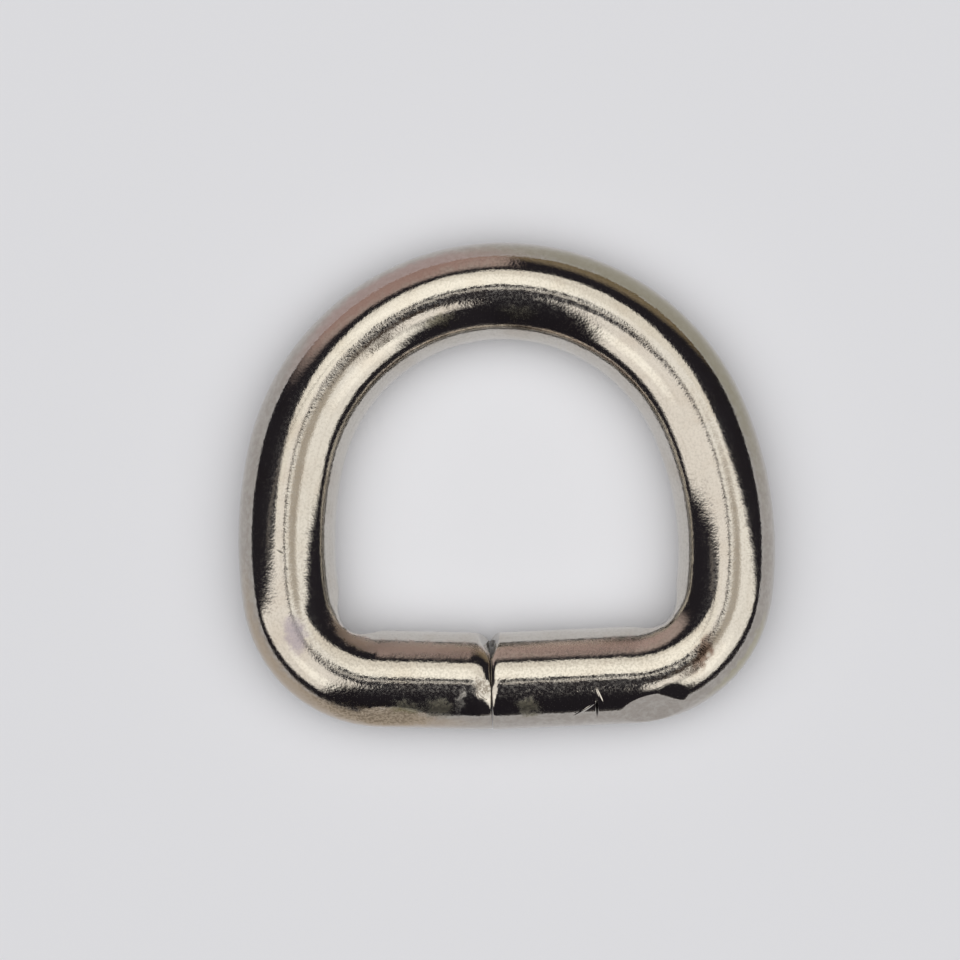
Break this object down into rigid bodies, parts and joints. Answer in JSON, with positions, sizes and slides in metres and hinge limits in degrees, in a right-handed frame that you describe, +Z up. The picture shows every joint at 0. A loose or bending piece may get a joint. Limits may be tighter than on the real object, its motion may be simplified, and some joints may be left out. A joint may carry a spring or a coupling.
{
  "type": "d ring",
  "caption": "Flat-lying D ring bent from round nickel-plated steel wire, its cut ends meeting at the middle of the straight bar; it ties a strap to a hook, clip or cord.",
  "frame": {"origin": "middle of the outline of the ring as it lies flat, on the surface that it rests on", "axes": "+X along the straight bar, +Y from the bar towards the bow, +Z up through the eye"},
  "size_m": [0.025, 0.0226, 0.0045],
  "materials": {
    "nickel_plated_steel": "bright barrel nickel plating over drawn steel wire: warm silver, finely pitted, with light tarnish and press marks"
  },
  "bodies": {
    "root": {"d_ring": "nickel_plated_steel"}
  },
  "joints": []
}
